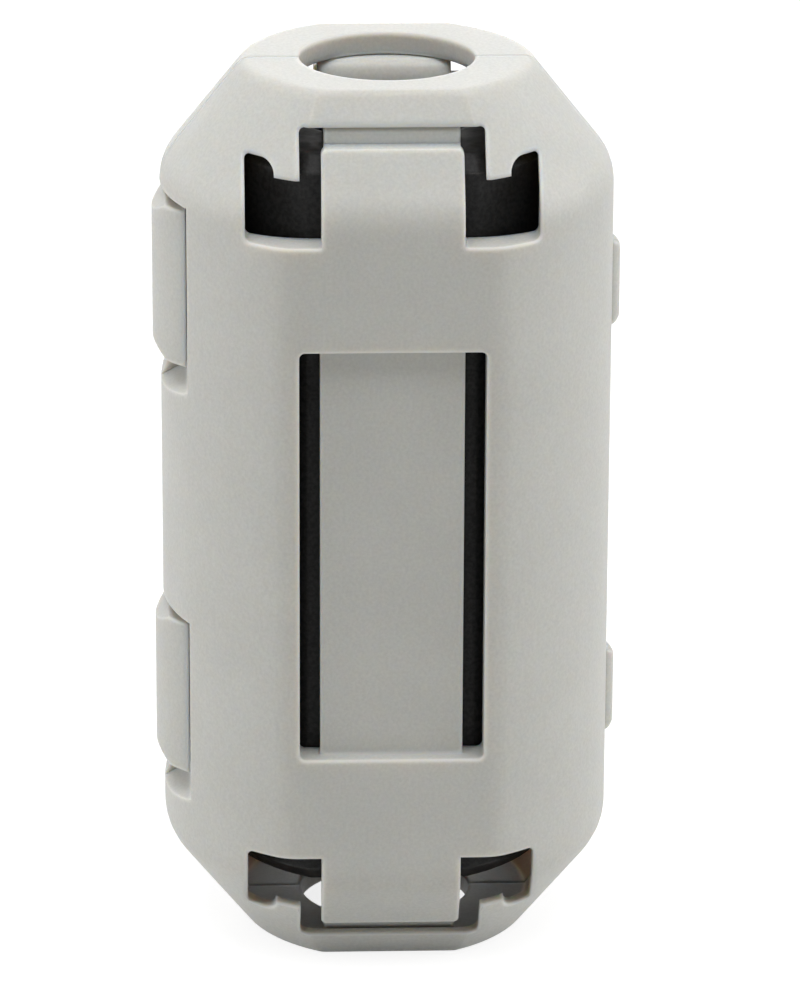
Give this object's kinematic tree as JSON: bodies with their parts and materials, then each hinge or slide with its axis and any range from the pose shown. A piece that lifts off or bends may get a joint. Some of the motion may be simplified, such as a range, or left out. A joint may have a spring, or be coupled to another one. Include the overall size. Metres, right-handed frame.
{
  "type": "clip-on ferrite bead",
  "caption": "Clip-on ferrite housing: hinged half shells with hooked end tongues and side latches hold a split core round a cable.",
  "frame": {"origin": "on the cable's axis, at the lower end face", "axes": "+Z along the cable passage, -Y towards the front shell, -X towards the latch arms, +X towards the hinge straps"},
  "size_m": [0.0128, 0.011, 0.025],
  "materials": {
    "housing": "fine-textured moulded nylon, light warm grey",
    "ferrite": "ground sintered ferrite, dark charcoal, matte"
  },
  "bodies": {
    "rear_half": {"rear_shell": "housing", "rear_core": "ferrite", "upper_hinge_strap": "housing", "lower_hinge_strap": "housing"},
    "front_half": {"front_shell": "housing", "front_core": "ferrite"}
  },
  "joints": [
    {"name": "shell_hinge", "type": "hinge", "parent": "rear_half", "child": "front_half", "pos_m": [0.0063, 0, 0.0125], "axis": [0, 0, 1], "range_deg": [0, 180], "deforming": ["upper_hinge_strap", "lower_hinge_strap"]}
  ]
}
